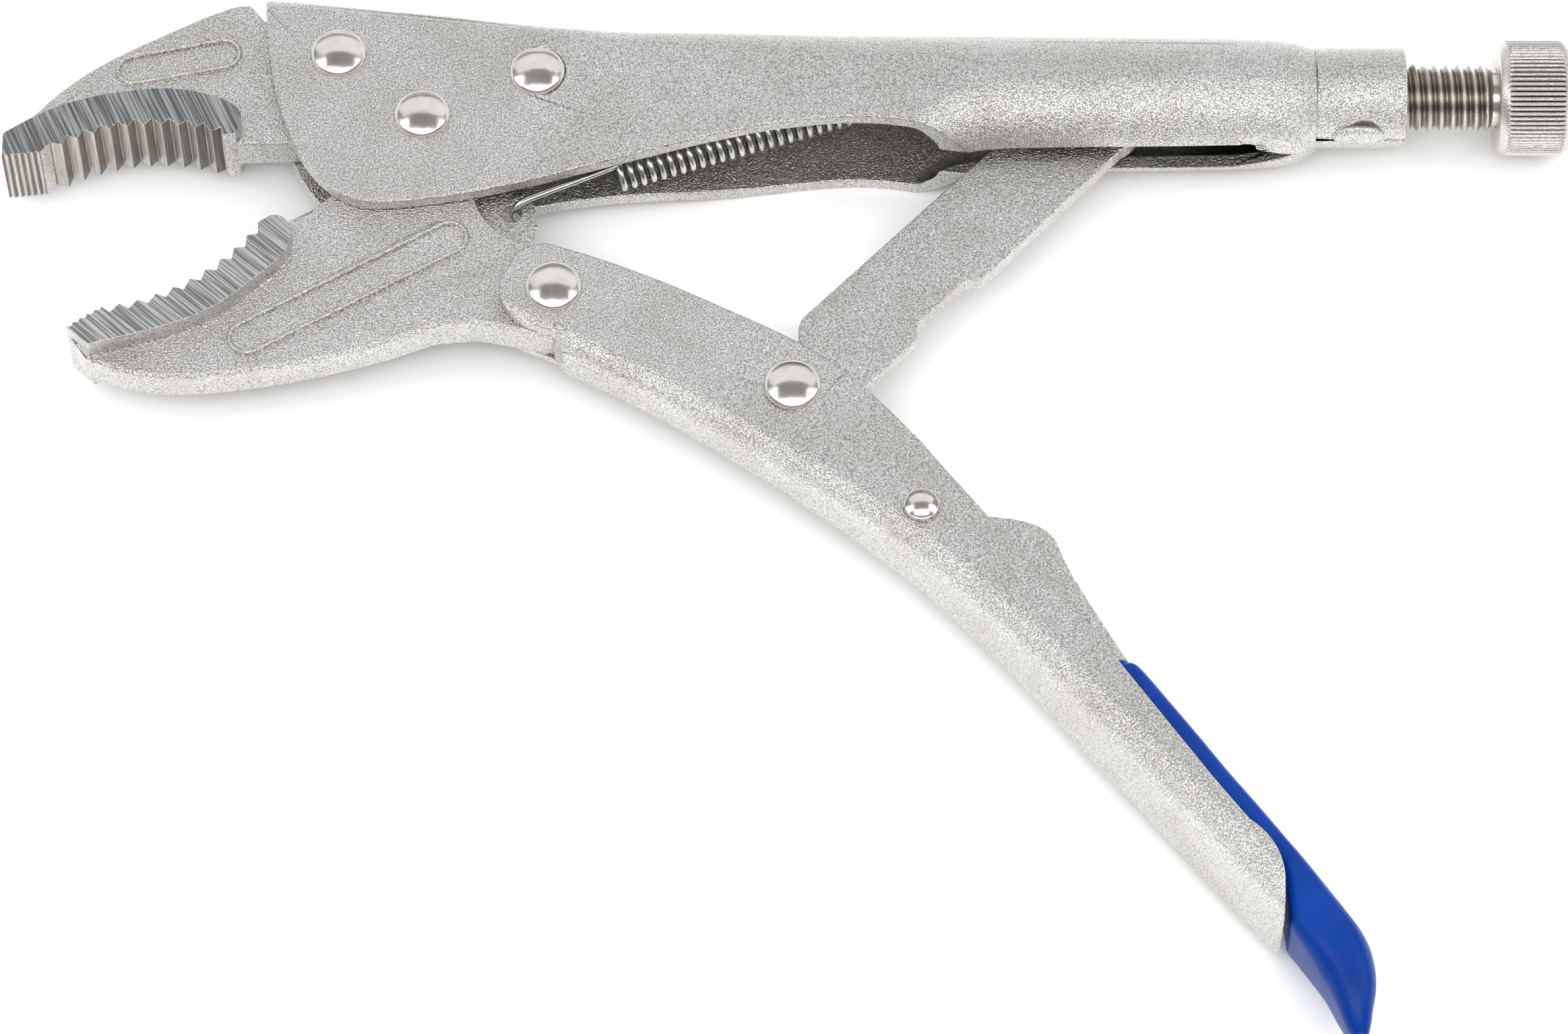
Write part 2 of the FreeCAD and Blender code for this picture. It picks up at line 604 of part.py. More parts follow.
def make_knob():
    socket_y = SCREW_Y + NECK_R + RUNNING
    socket_x = KNOB_X0 + KNOB_SOCKET + 0.1
    rim_y = SCREW_Y + KNOB_R
    profile = run((KNOB_X0, socket_y), (KNOB_X0, rim_y - KNOB_EDGE), (KNOB_X0 + KNOB_EDGE, rim_y),
                  (KNOB_X1 - KNOB_EDGE, rim_y), (KNOB_X1, rim_y - KNOB_EDGE), (KNOB_X1, SCREW_Y),
                  (socket_x, SCREW_Y), (socket_x, socket_y), (KNOB_X0, socket_y))
    face = Part.Face(Part.Wire(profile))
    return face.revolve(Vector(0, SCREW_Y, 0), FORWARD, 360)


# Return spring: a close-wound coil drawn as its sleeve, and a straight wire hook at each end

def wire(points):
    """Straight lengths of wire through the points, each running a little past its corners."""
    pieces = []
    for a, b in zip(points, points[1:]):
        along = Vector(*b) - Vector(*a)
        past = along * (0.6 * WIRE_R / along.Length)
        pieces.append(Part.makeCylinder(WIRE_R, along.Length + 2 * past.Length, Vector(*a) - past, along))
    return pieces


def make_spring():
    start, end = vec(COIL_START), vec(COIL_END)
    along = end - start
    coil = Part.makeCylinder(COIL_R, along.Length, start, along)
    coil = coil.cut(Part.makeCylinder(COIL_R - 2 * WIRE_R, along.Length, start, along))
    side = COIL_R - WIRE_R
    hook_x, hook_y = HOOK_HOLE
    front = [(COIL_START[0] + 0.9, COIL_START[1] + 0.3, side), (hook_x + 0.5, hook_y + 0.7, HOOK_HALF),
             (hook_x + 0.2, hook_y + 0.5, 0.0), (hook_x + 0.5, hook_y + 0.6, -HOOK_HALF)]
    rear = [(COIL_END[0] - 0.9, COIL_END[1] - 0.3, -side), (COIL_END[0] + 3.0, SPRING_TAB_Y - 0.4, -WIRE_R),
            (SPRING_TAB_X + SPRING_TAB + 1.0, SPRING_TAB_Y, 0.0)]
    return coil.fuse(wire(front) + wire(rear))


def main():
    nodes = {
        "fixed_handle": make_fixed_handle(),
        "upper_jaw": make_upper_jaw(),
        "jaw_rivet_front": large_rivet(JAW_RIVET_FRONT, CHEEK),
        "jaw_rivet_rear": large_rivet(JAW_RIVET_REAR, CHEEK),
        "jaw_pivot_rivet": large_rivet(JAW_PIVOT, CHEEK),
        "lower_jaw": make_lower_jaw(),
        "lower_handle": make_lower_handle(),
        "handle_pivot_rivet": large_rivet(HANDLE_PIVOT, CHEEK),
        "link_pivot_rivet": large_rivet(LINK_PIVOT, LINK_SEAT),
        "lever_pivot_rivet": rivet(LEVER_PIVOT, LEVER_SEAT, SMALL_SHANK_R, SMALL_HEAD_R, SMALL_HEAD_RISE),
        "toggle_link": make_toggle_link(),
        "release_lever": make_release_lever(),
        "lever_grip_sleeve": make_sleeve(),
        "return_spring": make_spring(),
        "adjusting_screw": make_screw(),
        "adjusting_knob": make_knob(),
    }
    whole = Part.makeCompound(list(nodes.values()))
    box = whole.optimalBoundingBox(False, False)
    shift = Vector(-(box.XMin + box.XMax) / 2, -(box.YMin + box.YMax) / 2, -box.ZMin)
    for name, shape in nodes.items():
        shape.translate(shift)
        shape.exportStep("parts/" + name + ".step")
        print(name, "solids", len(shape.Solids), "valid", shape.isValid(), "volume", round(shape.Volume, 1))
    print("jaw pivot is at", round(shift.x, 3), round(shift.y, 3), round(shift.z, 3))
    print("size", round(box.XLength, 2), round(box.YLength, 2), round(box.ZLength, 2))


main()
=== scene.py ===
"""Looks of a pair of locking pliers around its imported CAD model, in metres."""
import json
import math

import bmesh
import bpy
from mathutils import Matrix, Vector
from mathutils.bvhtree import BVHTree


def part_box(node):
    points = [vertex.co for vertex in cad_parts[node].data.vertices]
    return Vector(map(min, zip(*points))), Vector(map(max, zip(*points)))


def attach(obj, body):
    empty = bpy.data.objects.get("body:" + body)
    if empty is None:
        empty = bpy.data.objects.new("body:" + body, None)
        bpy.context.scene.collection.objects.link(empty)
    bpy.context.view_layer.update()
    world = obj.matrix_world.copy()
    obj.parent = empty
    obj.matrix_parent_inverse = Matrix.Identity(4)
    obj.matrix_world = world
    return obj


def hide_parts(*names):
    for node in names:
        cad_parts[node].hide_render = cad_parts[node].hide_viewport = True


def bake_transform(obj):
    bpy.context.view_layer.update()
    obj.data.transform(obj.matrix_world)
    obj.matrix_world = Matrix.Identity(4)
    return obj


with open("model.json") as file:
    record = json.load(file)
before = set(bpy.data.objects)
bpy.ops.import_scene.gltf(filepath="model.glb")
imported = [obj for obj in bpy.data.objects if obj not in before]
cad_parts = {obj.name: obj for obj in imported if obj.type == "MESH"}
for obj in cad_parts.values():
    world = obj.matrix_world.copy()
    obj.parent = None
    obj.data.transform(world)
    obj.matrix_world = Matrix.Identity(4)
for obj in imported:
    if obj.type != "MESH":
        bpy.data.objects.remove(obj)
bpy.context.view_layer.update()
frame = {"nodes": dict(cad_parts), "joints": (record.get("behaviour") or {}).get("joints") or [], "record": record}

MM = 0.001
JOINTS = {joint["name"]: joint for joint in frame["joints"]}
BODY_OF = {node: body for body, nodes in frame["record"]["behaviour"]["bodies"].items() for node in nodes}
JAW_PIVOT = Vector(JOINTS["jaw_pivot"]["pos_m"])
MID_Z = JAW_PIVOT.z


def at(x, y, z=0.0):
    """A point given in mm from the jaw pivot, at the middle of the thickness."""
    return JAW_PIVOT + Vector((x, y, z)) * MM


# ---------------------------------------------------------------- material nodes

class Nodes:
    """A material whose nodes are added one at a time."""

    def __init__(self, name):
        self.material = bpy.data.materials.new(name)
        self.material.use_nodes = True
        self.tree = self.material.node_tree
        self.shader = self.tree.nodes["Principled BSDF"]
        self.place = self.add("ShaderNodeTexCoord").outputs["Object"]

    def add(self, kind, **settings):
        node = self.tree.nodes.new(kind)
        for key, value in settings.items():
            setattr(node, key, value)
        return node

    def give(self, socket, value):
        """Links another node's output to the socket, or sets its value."""
        if hasattr(value, "links"):
            self.tree.links.new(value, socket)
        elif socket.type == "RGBA" and len(value) == 3:
            socket.default_value = (*value, 1.0)
        else:
            socket.default_value = value

    def set(self, **values):
        """Sets the shader's sockets, with _ for a space in their names."""
        for name, value in values.items():
            self.give(self.shader.inputs[name.replace("_", " ")], value)

    def math(self, operation, a, b=0.0):
        node = self.add("ShaderNodeMath", operation=operation)
        self.give(node.inputs[0], a)
        self.give(node.inputs[1], b)
        return node.outputs[0]

    def noise(self, scale, detail=2.0, roughness=0.5, place=None):
        """Noise with the given number of lumps per metre."""
        node = self.add("ShaderNodeTexNoise")
        self.give(node.inputs["Scale"], scale)
        self.give(node.inputs["Detail"], detail)
        self.give(node.inputs["Roughness"], roughness)
        self.give(node.inputs["Vector"], place or self.place)
        return node.outputs["Fac"]

    def ramp(self, fac, *stops):
        """A colour or grey from (position, value) stops."""
        node = self.add("ShaderNodeValToRGB")
        elements = node.color_ramp.elements
        while len(elements) < len(stops):
            elements.new(0.5)
        for element, (position, color) in zip(elements, stops):
            element.position = position
            element.color = (*color, 1.0) if isinstance(color, tuple) else (color, color, color, 1.0)
        self.give(node.inputs["Fac"], fac)
        return node.outputs["Color"]

    def mix(self, fac, a, b, blend="MIX"):
        node = self.add("ShaderNodeMix", data_type="RGBA", blend_type=blend)
        self.give(node.inputs["Factor"], fac)
        self.give(node.inputs["A"], a)
        self.give(node.inputs["B"], b)
        return node.outputs["Result"]

    def between(self, fac, low, high):
        """The number low where fac is 0 and high where it is 1."""
        node = self.add("ShaderNodeMapRange")
        self.give(node.inputs["Value"], fac)
        self.give(node.inputs["To Min"], low)
        self.give(node.inputs["To Max"], high)
        return node.outputs["Result"]

    def window(self, value, low, high):
        """0 below low, 1 above high, smooth between."""
        node = self.add("ShaderNodeMapRange", interpolation_type="SMOOTHSTEP")
        self.give(node.inputs["Value"], value)
        self.give(node.inputs["From Min"], low)
        self.give(node.inputs["From Max"], high)
        return node.outputs["Result"]

    def bump(self, height, distance, normal=None):
        """A bumped normal, the height scaled to distance in metres, over another one if given."""
        node = self.add("ShaderNodeBump")
        self.give(node.inputs["Distance"], distance)
        self.give(node.inputs["Height"], height)
        if normal is not None:
            self.give(node.inputs["Normal"], normal)
        return node.outputs["Normal"]

    def stretched(self, angle, along, across, depth):
        """Object position turned about Z by angle, then scaled along and across that direction."""
        turn = self.add("ShaderNodeVectorRotate", rotation_type="Z_AXIS")
        self.give(turn.inputs["Vector"], self.place)
        self.give(turn.inputs["Angle"], -angle)
        scale = self.add("ShaderNodeVectorMath", operation="MULTIPLY")
        self.give(scale.inputs[0], turn.outputs["Vector"])
        self.give(scale.inputs[1], (along, across, depth))
        return scale.outputs["Vector"]

    def axis(self, vector, name):
        node = self.add("ShaderNodeSeparateXYZ")
        self.give(node.inputs["Vector"], vector)
        return node.outputs[name]

    def facing(self):
        """The true normal, without bumps."""
        return self.add("ShaderNodeNewGeometry").outputs["True Normal"]

    def from_screw_axis(self):
        """Distance from the screw's axis."""
        y = self.math("SUBTRACT", self.axis(self.place, "Y"), SCREW_AXIS.y)
        z = self.math("SUBTRACT", self.axis(self.place, "Z"), SCREW_AXIS.z)
        return self.math("SQRT", self.math("ADD", self.math("MULTIPLY", y, y), self.math("MULTIPLY", z, z)))


# ---------------------------------------------------------------- materials

def blasted(name, grain=1.0):
    """Nickel plate over a shot-blasted surface: fine facets that sparkle, and a faint cloudy tone."""
    light = (0.80, 0.785, 0.77)
    warm = (0.72, 0.70, 0.67)
    look = Nodes(name)
    facets = look.noise(3600.0, 1.5, 0.6)
    coarse = look.noise(1500.0, 1.0, 0.5)
    cloud = look.noise(70.0, 3.0, 0.6)
    tone = look.mix(look.window(cloud, 0.35, 0.65), warm, light)
    tone = look.mix(0.8, tone, look.ramp(facets, (0.36, 0.40), (0.54, 1.0)), "MULTIPLY")
    look.set(Base_Color=tone, Metallic=1.0, Roughness=look.between(facets, 0.34, 0.16))
    fine = look.bump(facets, 0.00020 * grain)
    look.set(Normal=look.bump(coarse, 0.00006 * grain, fine))
    return look.material


def ground(name, angle, pitch, light):
    """Ground steel, as light as given, with grinding lines a pitch apart at an angle from +X."""
    look = Nodes(name)
    lined = look.stretched(angle, 0.02, 1.0, 1.0)
    line = look.noise(1.9 / pitch, 1.0, 0.5, lined)
    scratch = look.noise(5.0 / pitch, 2.0, 0.6, lined)
    tone = look.ramp(line, (0.38, 0.30 * light), (0.50, 0.52 * light), (0.62, 0.85 * light))
    tone = look.mix(0.35, tone, look.ramp(scratch, (0.3, 0.55), (0.7, 1.0)), "MULTIPLY")
    look.set(Base_Color=tone, Metallic=1.0, Roughness=look.between(line, 0.5, 0.3))
    rough = look.bump(scratch, 0.00004)
    look.set(Normal=look.bump(line, 0.00010, rough))
    return look.material


def machined(name):
    """Cut teeth: warm nickel drawn along the thickness, with painted shade that darkens the flanks that face +X.
    """
    look = Nodes(name)
    drawn = look.stretched(0.0, 1.0, 1.0, 0.03)
    streak = look.noise(5200.0, 2.0, 0.6, drawn)
    wide = look.noise(1100.0, 1.0, 0.5, drawn)
    # Painted shade: the flanks that face +X are darkened to stand in for the shadow in the grooves between teeth
    painted_flank_shade = look.window(look.axis(look.facing(), "X"), -0.5, 0.5)
    tone = look.ramp(streak, (0.3, (0.46, 0.41, 0.36)), (0.65, (0.78, 0.74, 0.69)))
    tone = look.mix(1.0, tone, look.ramp(painted_flank_shade, (0.0, 1.0), (1.0, 0.28)), "MULTIPLY")
    tone = look.mix(0.4, tone, look.ramp(wide, (0.35, 0.6), (0.65, 1.0)), "MULTIPLY")
    look.set(Base_Color=tone, Metallic=1.0, Roughness=look.between(streak, 0.42, 0.26))
    look.set(Normal=look.bump(streak, 0.00005))
    return look.material


def polished(name, rough=0.17):
    """Burnished metal with hairline marks and small dents."""
    tone = (0.80, 0.765, 0.72)
    look = Nodes(name)
    marks = look.noise(6000.0, 2.0, 0.6)
    dents = look.noise(500.0, 2.0, 0.5)
    color = look.mix(look.window(dents, 0.3, 0.7), tuple(c * 0.9 for c in tone), tone)
    look.set(Base_Color=color, Metallic=1.0, Roughness=look.between(marks, rough + 0.05, rough))
    fine = look.bump(marks, 0.000004)
    look.set(Normal=look.bump(dents, 0.00006, fine))
    return look.material


def threaded(name):
    """Bright rolled thread, with painted shade that turns it dark brown towards its roots."""
    look = Nodes(name)
    radius = look.from_screw_axis()
    # Painted shade: dark brown in the roots of the thread, bright on its crests
    crest = look.window(radius, (THREAD_ROOT + 0.3) * MM, (THREAD_R - 0.1) * MM)
    grain = look.noise(4000.0, 2.0, 0.6)
    tone = look.mix(crest, (0.30, 0.26, 0.22), (0.86, 0.84, 0.81))
    tone = look.mix(0.4, tone, look.ramp(grain, (0.3, 0.6), (0.6, 1.0)), "MULTIPLY")
    look.set(Base_Color=tone, Metallic=1.0, Roughness=look.between(grain, 0.32, 0.18))
    look.set(Normal=look.bump(grain, 0.00004))
    return look.material


def knurled(name):
    """Nickel over straight ridges, with painted shade dark in the gaps between them, bright on their crests and
    plain rims.
    """
    look = Nodes(name)
    radius = look.from_screw_axis()
    # Painted shade: the gaps between the ridges are darkened; the crests and the plain rims stay bright
    crest = look.window(radius, (KNOB_R - RIDGE_DEPTH) * MM, (KNOB_R - 0.08) * MM)
    along = look.axis(look.place, "X")
    rear = look.window(along, at(KNOB_X[1] - 1.5, 0.0).x, at(KNOB_X[1] - 1.0, 0.0).x)
    front = look.window(along, at(KNOB_X[0] + 1.6, 0.0).x, at(KNOB_X[0] + 1.2, 0.0).x)
    bright = look.math("MAXIMUM", crest, look.math("MAXIMUM", rear, front))
    grain = look.noise(3600.0, 2.0, 0.6)
    tone = look.mix(bright, (0.20, 0.185, 0.17), (0.74, 0.715, 0.68))
    tone = look.mix(0.5, tone, look.ramp(grain, (0.34, 0.45), (0.55, 1.0)), "MULTIPLY")
    look.set(Base_Color=tone, Metallic=1.0, Roughness=look.between(grain, 0.36, 0.22))
    look.set(Normal=look.bump(grain, 0.00007))
    return look.material


def drawn_wire(name):
    """Bright drawn spring wire with faint stains."""
    look = Nodes(name)
    grain = look.noise(5000.0, 2.0, 0.6)
    stain = look.noise(420.0, 2.0, 0.5)
    tone = look.mix(look.window(stain, 0.35, 0.7), (0.52, 0.51, 0.50), (0.74, 0.73, 0.72))
    look.set(Base_Color=tone, Metallic=1.0, Roughness=look.between(grain, 0.24, 0.14))
    look.set(Normal=look.bump(grain, 0.00002))
    return look.material


def vinyl(name):
    """Dipped soft vinyl: deep blue with a soft sheen and faint runs."""
    look = Nodes(name)
    runs = look.noise(70.0, 2.0, 0.5)
    skin = look.noise(900.0, 3.0, 0.6)
    fine = look.noise(5000.0, 2.0, 0.6)
    tone = look.mix(look.window(runs, 0.3, 0.7), (0.0, 0.024, 0.20), (0.0, 0.042, 0.29))
    tone = look.mix(look.window(fine, 0.62, 0.75), tone, (0.0, 0.066, 0.36))
    look.set(Base_Color=tone, Roughness=look.between(skin, 0.34, 0.26), Specular_IOR_Level=0.16)
    look.set(Normal=look.bump(skin, 0.00003, look.bump(runs, 0.0003)))
    return look.material


# ---------------------------------------------------------------- mesh helpers

def finish_mesh(name, bm, *materials, sharp=38.0):
    """An object from bm, smooth except along edges sharper than the given angle."""
    bm.normal_update()
    limit = math.radians(sharp)
    for face in bm.faces:
        face.smooth = True
    for edge in bm.edges:
        edge.smooth = len(edge.link_faces) == 2 and edge.calc_face_angle(0.0) < limit
    mesh = bpy.data.meshes.new(name)
    bm.to_mesh(mesh)
    bm.free()
    for material in materials:
        mesh.materials.append(material)
    piece = bpy.data.objects.new(name, mesh)
    bpy.context.scene.collection.objects.link(piece)
    return piece


def stands_for(piece, node):
    """The piece moves with the CAD node's body and is shown instead of it."""
    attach(piece, BODY_OF[node])
    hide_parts(node)


def cad_copy(node):
    """An editable copy of the CAD node's mesh, its doubled points merged."""
    bm = bmesh.new()
    bm.from_mesh(frame["nodes"][node].data)
    bmesh.ops.remove_doubles(bm, verts=bm.verts, dist=0.002 * MM)
    bmesh.ops.dissolve_degenerate(bm, edges=bm.edges, dist=0.002 * MM)
    return bm


def refined(node, bevel, *materials, angle=30.0, broad=None, choose=None):
    """The CAD node's mesh with its sharp edges rounded, and no point left outside the CAD surface.

    broad is a wider radius and a test for the edges that it is for.
    choose gives each face its material's number."""
    bm = cad_copy(node)
    bmesh.ops.dissolve_limit(bm, angle_limit=math.radians(0.8), verts=bm.verts, edges=bm.edges)
    bm.normal_update()
    surface = BVHTree.FromBMesh(bm)
    low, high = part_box(node)
    limit = math.radians(angle)
    sharp = [e for e in bm.edges if len(e.link_faces) == 2 and e.calc_face_angle(0.0) > limit]
    if broad:
        wide, test = broad
        outer = [e for e in sharp if test(e)]
        bmesh.ops.bevel(bm, geom=outer, offset=wide, offset_type="OFFSET", segments=4, profile=0.5,
                        affect="EDGES", clamp_overlap=False)
        bm.normal_update()
        sharp = [e for e in bm.edges if len(e.link_faces) == 2 and e.calc_face_angle(0.0) > limit]
    bmesh.ops.bevel(bm, geom=sharp, offset=bevel, offset_type="OFFSET", segments=3, profile=0.5,
                    affect="EDGES", clamp_overlap=False)
    for vert in bm.verts:
        nearest, normal, _, gap = surface.find_nearest(vert.co)
        outside = (vert.co - nearest).dot(normal) > 0.01 * MM
        if outside or gap > 0.45 * (broad[0] if broad else bevel):
            vert.co = nearest
        vert.co = [min(max(value, least), most) for value, least, most in zip(vert.co, low, high)]
    if choose:
        bm.normal_update()
        for face in bm.faces:
            face.material_index = choose(face)
    piece = finish_mesh(node + "_finished", bm, *materials)
    weighted = piece.modifiers.new("weighted_normal", "WEIGHTED_NORMAL")
    weighted.keep_sharp = True
    stands_for(piece, node)


def circle(bm, middle, side, other, steps):
    """Vertices round the circle with the two given radii."""
    turns = [math.tau * i / steps for i in range(steps)]
    return [bm.verts.new(middle + side * math.cos(turn) + other * math.sin(turn)) for turn in turns]


def join_rings(bm, rings):
    """Faces between each closed ring of vertices and the next."""
    for first, second in zip(rings, rings[1:]):
        for i in range(len(first)):
            j = (i + 1) % len(first)
            bm.faces.new((first[i], first[j], second[j], second[i]))


def turned(name, profile, centre, axis, steps, material, sharp=38.0):
    """A surface turned from (along, radius) points in metres, about the axis through centre."""
    along = Vector(axis)
    side = along.orthogonal().normalized()
    other = along.cross(side)
    bm = bmesh.new()
    rings = []
    for distance, radius in profile:
        middle = centre + along * distance
        if radius == 0.0:
            rings.append([bm.verts.new(middle)] * steps)
        else:
            rings.append(circle(bm, middle, side * radius, other * radius, steps))
    for low, high in zip(rings, rings[1:]):
        for i in range(steps):
            j = (i + 1) % steps
            # Beside a point on the axis two corners are the same
            corners = list(dict.fromkeys((low[i], low[j], high[j], high[i])))
            if len(corners) > 2:
                bm.faces.new(corners)
    bmesh.ops.recalc_face_normals(bm, faces=bm.faces)
    return finish_mesh(name, bm, material, sharp=sharp)


def tube(name, points, radius, material):
    """A round wire through the points."""
    bm = bmesh.new()
    rings = []
    side = None
    for i, point in enumerate(points):
        ahead = (points[min(i + 1, len(points) - 1)] - points[max(i - 1, 0)]).normalized()
        side = ahead.orthogonal() if side is None else side - ahead * side.dot(ahead)
        side.normalize()
        other = ahead.cross(side)
        rings.append(circle(bm, point, side * radius, other * radius, WIRE_SIDES))
    join_rings(bm, rings)
    bm.faces.new(rings[0])
    bm.faces.new(rings[-1])
    bmesh.ops.recalc_face_normals(bm, faces=bm.faces)
    return finish_mesh(name, bm, material)


# ---------------------------------------------------------------- driving sizes, in mm from the jaw pivot

SCREW_Y = 6.6
SCREW_AXIS = at(0.0, SCREW_Y)
THREAD_R = 5.555
THREAD_ROOT = 4.5
PITCH = 25.4 / 14
NOSE_X = 119.0
THREAD_X = (121.4, 167.4)
NECK_R = 4.5
KNOB_X = (168.2, 179.5)
KNOB_R = 9.05
KNOB_RIDGES = 70
RIDGE_DEPTH = 0.46
COLLAR_R = 7.875
JAW_HALF = 3.0
RAIL_HALF = 6.25
JAW_EDGE = 0.16
UPPER_BODY_EDGE = 0.6
LOWER_BODY_EDGE = 0.8
UPPER_TEETH = ((-57.6, -5.6), (-44.6, -1.2), (-31.2, -2.7))
UPPER_TIP_TEETH = ((-65.1, -8.1), (-62.2, -7.8), (-59.2, -7.4))
LOWER_TEETH = ((-48.3, -35.1), (-36.3, -31.0), (-24.8, -20.0))
LOWER_TIP_TEETH = ((-53.5, -38.7), (-50.9, -36.8), (-48.3, -35.1))
UPPER_PANEL = ((-45.6, 9.9), (-31.7, 12.9))
LOWER_PANEL = ((-26.0, -38.8), (4.6, -20.9))
HEAD_RISE = 1.7
SMALL_HEAD_RISE = 1.5
DOME_SHARE = 0.88
COIL_START = (30.4, -7.4)
COIL_END = (67.0, 5.0)
COIL_MIDDLE_R = 2.43
WIRE_R = 0.53
COIL_PITCH = 1.62
HOOK_HOLE = (14.1, -15.5)
FRONT_HOOK = ((3.6, 0.1, -3.2), (1.6, 0.35, -2.4), (0.5, 0.55, -1.3), (0.1, 0.6, 0.0),
              (0.35, 0.7, 1.3), (1.3, 1.2, 2.35), (2.6, 1.85, 2.6))
SPRING_TAB = (74.8, 7.6)
REAR_HOOK = ((-5.2, -0.9, 0.9), (-3.0, -0.3, 0.2), (-1.0, 0.0, 0.0), (1.0, 0.2, 0.0), (1.9, 0.6, 0.0),
             (1.8, 1.4, 0.0))
WIRE_SIDES = 10
BEAD_R = 0.42
BEAD_RISE = 0.12
SWELL_AT = (146.2, SCREW_Y - COLLAR_R + 0.35, 1.0)
SWELL_RADII = (4.3, 1.15, 2.3)
SLEEVE_LIP = 1.4
SLEEVE_DRIP = 1.1
SLEEVE_FRONT_WAY = Vector((-0.57, 0.82, 0.0))
SLEEVE_TAIL_WAY = Vector((-0.3, -0.95, 0.0))
SLEEVE_ROWS = [
    # top x, top y, underside x, underside y, half width, corner
    (107.9, -96.3, 103.6, -99.3, 6.3, 1.7),
    (109.5, -97.2, 104.4, -100.8, 6.6, 1.8),
    (114.3, -103.6, 109.8, -106.8, 6.6, 1.8),
    (118.3, -109.1, 114.2, -112.0, 6.6, 1.8),
    (122.0, -114.3, 118.4, -116.9, 6.6, 1.8),
    (126.6, -120.4, 123.3, -122.8, 6.6, 1.8),
    (130.4, -125.6, 127.2, -128.0, 6.6, 1.8),
    (132.3, -128.1, 129.2, -130.8, 6.6, 1.9),
    (134.3, -130.8, 130.1, -137.0, 6.6, 2.2),
    (136.3, -133.5, 130.3, -139.2, 6.6, 2.6),
    (138.7, -136.8, 131.7, -141.5, 6.6, 3.0),
    (140.7, -139.7, 133.1, -143.8, 6.5, 3.4),
    (142.0, -142.5, 134.4, -146.1, 6.2, 3.8),
    (142.6, -145.7, 135.5, -148.1, 5.8, 3.8),
    (142.5, -148.8, 136.4, -150.1, 5.1, 3.5),
    (142.0, -151.3, 137.2, -152.1, 4.2, 2.8),
    (141.7, -153.3, 138.0, -153.9, 3.1, 2.1),
    (141.3, -154.9, 138.9, -155.2, 2.0, 1.3),
]


# ---------------------------------------------------------------- pieces

def on_teeth(first, middle, last, height):
    """A test for faces on a row of teeth within a height of the arc through three points."""
    a, b, c = (Vector((*p, 0.0)) for p in (first, middle, last))
    normal = (b - a).cross(c - a)
    centre = a + ((c - a).length_squared * normal.cross(b - a)
                  + (b - a).length_squared * (c - a).cross(normal)) / (2 * normal.length_squared)
    radius = (a - centre).length
    chord = (c - a).normalized()

    def test(face):
        place = (face.calc_center_median() - JAW_PIVOT) / MM
        flat = Vector((place.x, place.y, 0.0))
        along = (flat - a).dot(chord)
        near = abs((flat - centre).length - radius) < height and -0.3 < along < (c - a).length + 0.3
        return near and abs(face.normal.z) < 0.7

    return test


def jaw_faces(*rows):
    """Numbers of the jaws' materials: 1 on the ground flanks, 2 on the teeth, 0 elsewhere."""
    def choose(face):
        height = abs(face.calc_center_median().z - MID_Z) / MM
        if height > RAIL_HALF - 0.05 and abs(face.normal.z) > 0.9:
            return 1
        return 2 if any(test(face) for test in rows) else 0
    return choose


def body_edge(edge):
    """Long edges round the forged body, away from its teeth, rims and holes."""
    heights = [abs(v.co.z - MID_Z) / MM for v in edge.verts]
    return all(abs(h - JAW_HALF) < 0.01 for h in heights) and edge.calc_length() > 1.1 * MM


def make_bead(node, first, last, radius, material):
    """A rounded bead along the oval panel on both faces of a jaw."""
    a, b = Vector((*first, 0.0)), Vector((*last, 0.0))
    heading = math.atan2(b.y - a.y, b.x - a.x)
    steps = 24
    for side in (-1, 1):
        oval = []
        for i in range(2 * steps + 2):
            at_end = i <= steps
            centre = b if at_end else a
            turn = heading - math.pi / 2 + math.pi * (i if at_end else i - 1) / steps
            oval.append(at(centre.x + radius * math.cos(turn), centre.y + radius * math.sin(turn),
                           side * (JAW_HALF + BEAD_RISE)))
        oval += oval[:2]
        bead = tube(f"{node}_bead_{'front' if side > 0 else 'back'}", oval, BEAD_R * MM, material)
        stands_for(bead, node)


def make_jaws():
    """Both forged jaws, with ground flanks, cut teeth and a beaded oval panel on each face."""
    skin = blasted("forged_nickel", grain=1.15)
    teeth = machined("machined_teeth")
    upper_rows = (on_teeth(*UPPER_TEETH, 2.2), on_teeth(*UPPER_TIP_TEETH, 1.0))
    flank = ground("upper_flank", math.radians(115), 0.55 * MM, 0.62)
    refined("upper_jaw", JAW_EDGE * MM, skin, flank, teeth,
            broad=(UPPER_BODY_EDGE * MM, body_edge), choose=jaw_faces(*upper_rows))
    lower_rows = (on_teeth(*LOWER_TEETH, 2.2), on_teeth(*LOWER_TIP_TEETH, 1.2))
    flank = ground("lower_flank", math.radians(138), 0.5 * MM, 0.9)
    refined("lower_jaw", JAW_EDGE * MM, skin, flank, teeth,
            broad=(LOWER_BODY_EDGE * MM, body_edge), choose=jaw_faces(*lower_rows))
    make_bead("upper_jaw", *UPPER_PANEL, 2.5, skin)
    make_bead("lower_jaw", *LOWER_PANEL, 2.7, skin)


def make_swell(skin):
    """The small oval swelling beside the collar's seam."""
    shape = Matrix.Translation(at(*SWELL_AT)) @ Matrix.Diagonal((*SWELL_RADII, 1.0))
    bm = bmesh.new()
    bmesh.ops.create_uvsphere(bm, u_segments=40, v_segments=24, radius=MM, matrix=shape)
    stands_for(finish_mesh("collar_seam_swell", bm, skin), "fixed_handle")


def make_sheet_metal():
    """The folded handles, the toggle link and the release lever, their edges rounded."""
    skin = blasted("satin_nickel")
    refined("fixed_handle", 0.3 * MM, skin)
    refined("lower_handle", 0.35 * MM, skin)
    refined("toggle_link", 0.25 * MM, skin)
    refined("release_lever", 0.3 * MM, skin)
    make_swell(skin)


